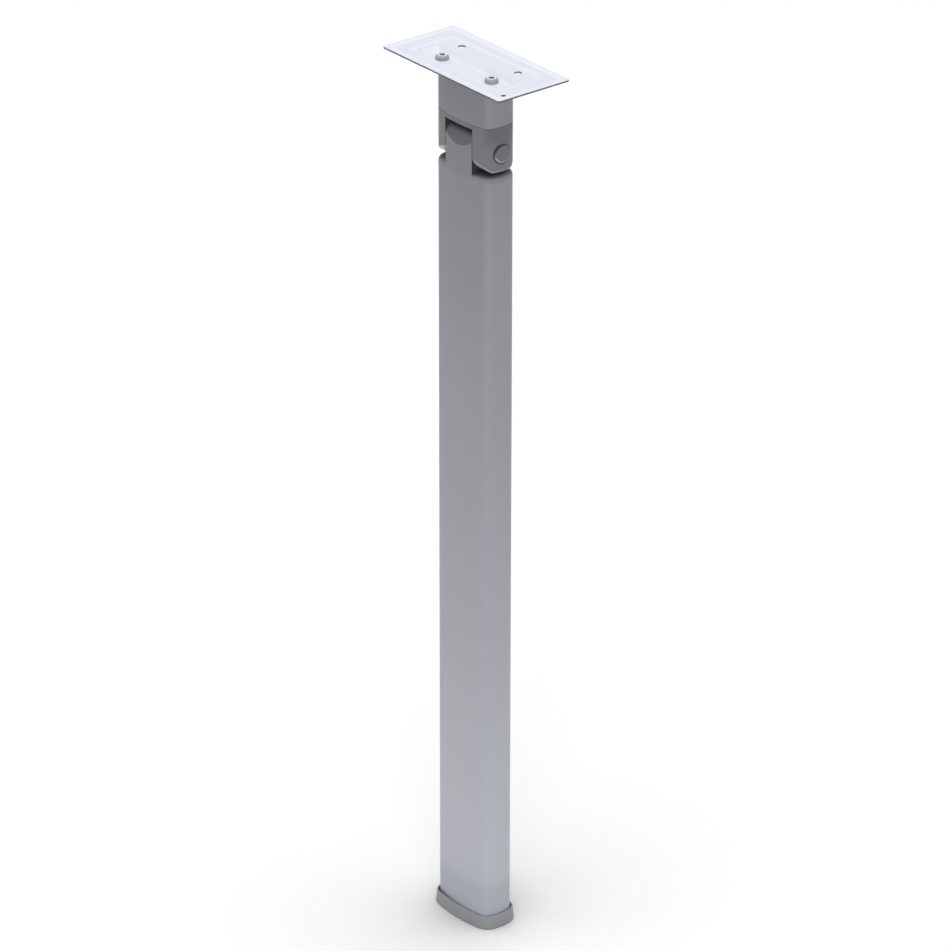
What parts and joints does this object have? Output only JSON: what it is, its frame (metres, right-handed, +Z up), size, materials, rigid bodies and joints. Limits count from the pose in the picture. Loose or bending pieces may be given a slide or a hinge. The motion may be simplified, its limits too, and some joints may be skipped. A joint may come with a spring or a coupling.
{
  "type": "folding table leg",
  "caption": "Barrel-section table leg that folds on a fork-and-tongue hinge under a pressed mounting plate, with a moulded foot cap.",
  "frame": {"origin": "centre of the mounting plate, in the plane of its rim, which bears on the table's underside", "axes": "+Z up out of the plate into the table top; +X along the plate's long side and the fold axis; +Y towards the side that the leg folds to"},
  "size_m": [0.1324, 0.065, 0.7],
  "materials": {
    "plate_coating": "pale satin coating on pressed steel",
    "leg_coating": "silver-grey satin coating on an aluminium extrusion",
    "fork_coating": "grey satin coating on a casting",
    "saddle_steel": "zinc plated",
    "screw_steel": "zinc plated",
    "pin_steel": "turned, plated",
    "spring_steel": "tempered strip",
    "bush_plastic": "moulded",
    "rivet_aluminium": "plain",
    "foot_plastic": "moulded, fine texture"
  },
  "bodies": {
    "head": {"mounting_plate": "plate_coating", "plate_screw_left": "screw_steel", "plate_screw_right": "screw_steel", "saddle_plate": "saddle_steel", "fork_screw_left": "screw_steel", "fork_screw_right": "screw_steel", "collar_sleeve": "leg_coating", "hinge_fork": "fork_coating", "stop_pin": "pin_steel", "pivot_pin": "pin_steel", "pin_screw": "pin_steel"},
    "leg": {"pivot_bush_left": "bush_plastic", "pivot_bush_right": "bush_plastic", "spring_washer": "spring_steel", "thrust_washer": "spring_steel", "hinge_tongue": "leg_coating", "leg_tube": "leg_coating", "foot_cap": "foot_plastic", "tongue_rivet_upper": "rivet_aluminium", "tongue_rivet_lower": "rivet_aluminium"}
  },
  "joints": [
    {"name": "fold", "type": "hinge", "parent": "head", "child": "leg", "pos_m": [0, 0, -0.0599], "axis": [1, 0, 0], "range_deg": [0, 90]}
  ]
}
